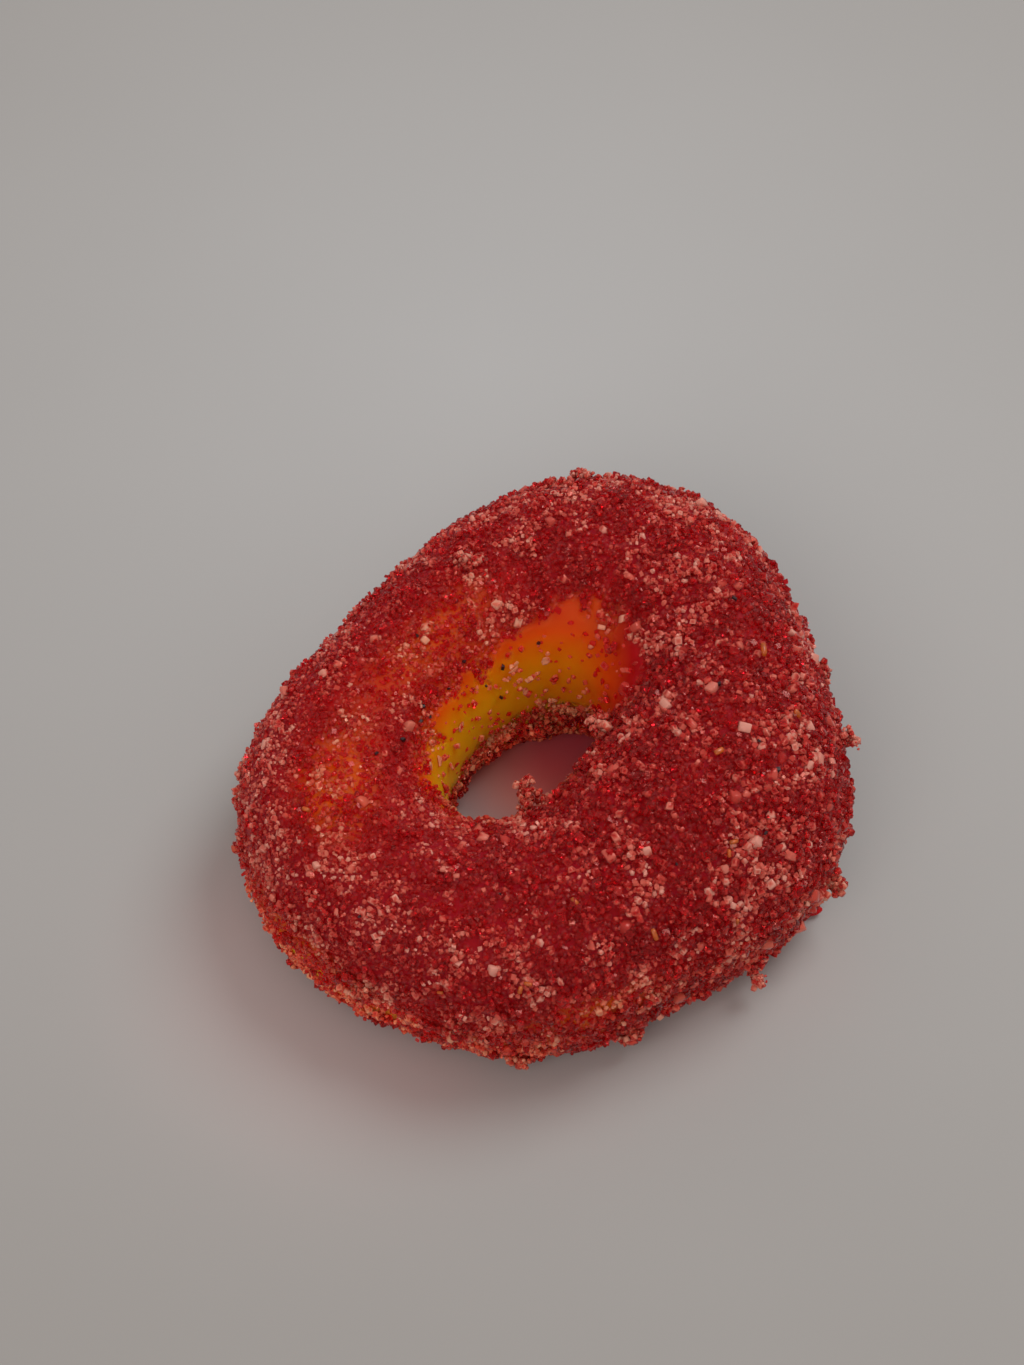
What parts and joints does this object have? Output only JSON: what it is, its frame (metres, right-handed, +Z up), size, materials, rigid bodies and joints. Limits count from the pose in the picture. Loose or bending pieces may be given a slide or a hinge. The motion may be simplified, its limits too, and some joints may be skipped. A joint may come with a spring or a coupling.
{
  "type": "gummy peach ring",
  "caption": "Soft chewy ring sweet with a flat back, a long narrow hole and a rough crust of coarse sugar, pressed a little out of round.",
  "frame": {"origin": "middle of the base of the sweet's box, on the surface that its flat back lies on", "axes": "+Z up through the hole, +X along the hole's long axis, +Y towards the thicker limb's far side"},
  "size_m": [0.0362, 0.0316, 0.0137],
  "materials": {
    "gel": "translucent chewy gel, crimson outside and yellow to orange on the hole's wall",
    "sugar": "coarse clear sugar crystals tinted pink by the gel"
  },
  "bodies": {
    "root": {"gummy_ring": "gel"}
  },
  "joints": []
}
